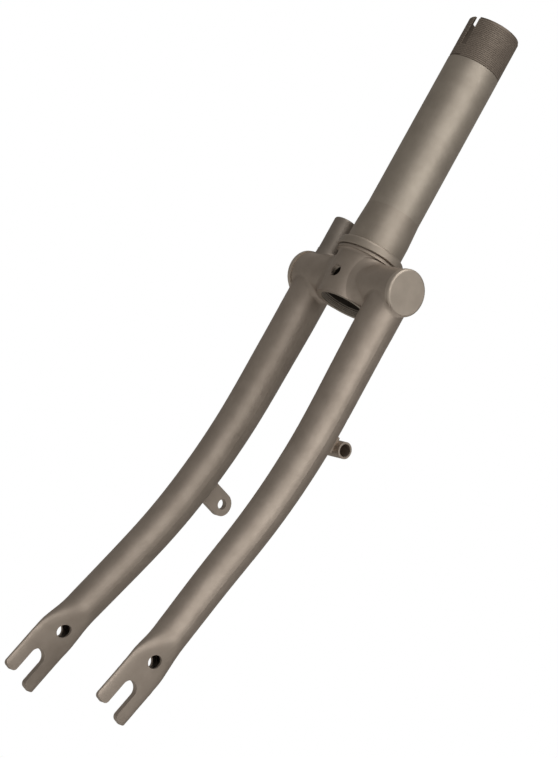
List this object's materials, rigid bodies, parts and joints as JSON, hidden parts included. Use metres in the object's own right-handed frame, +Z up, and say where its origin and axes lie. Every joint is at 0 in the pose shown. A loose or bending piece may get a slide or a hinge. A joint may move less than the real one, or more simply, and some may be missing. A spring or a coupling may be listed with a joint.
{
  "type": "rigid bicycle fork",
  "caption": "Rigid fork for a small-wheel bicycle: threaded steerer, short crown with capped arms, and raked round blades flattened into slotted axle ends.",
  "frame": {"origin": "on the steerer's axis, at the shoulder that the lower headset race sits on", "axes": "+Z up the steerer, +X forward in the fork's rake, +Y to the rider's left"},
  "size_m": [0.0701, 0.0908, 0.4113],
  "materials": {
    "steerer_metal": "satin, fine blasted",
    "ring_metal": "satin, turned",
    "blasted_metal": "satin, fine blasted",
    "cap_metal": "satin, faced"
  },
  "bodies": {
    "root": {"steerer_tube": "steerer_metal", "crown_race_seat": "ring_metal", "crown_lug": "blasted_metal", "crown_arm_left": "blasted_metal", "crown_arm_right": "blasted_metal", "end_cap_left": "cap_metal", "end_cap_right": "cap_metal", "blade_left": "blasted_metal", "blade_right": "blasted_metal", "crown_peg": "blasted_metal", "blade_tab": "blasted_metal", "blade_boss": "blasted_metal"}
  },
  "joints": []
}
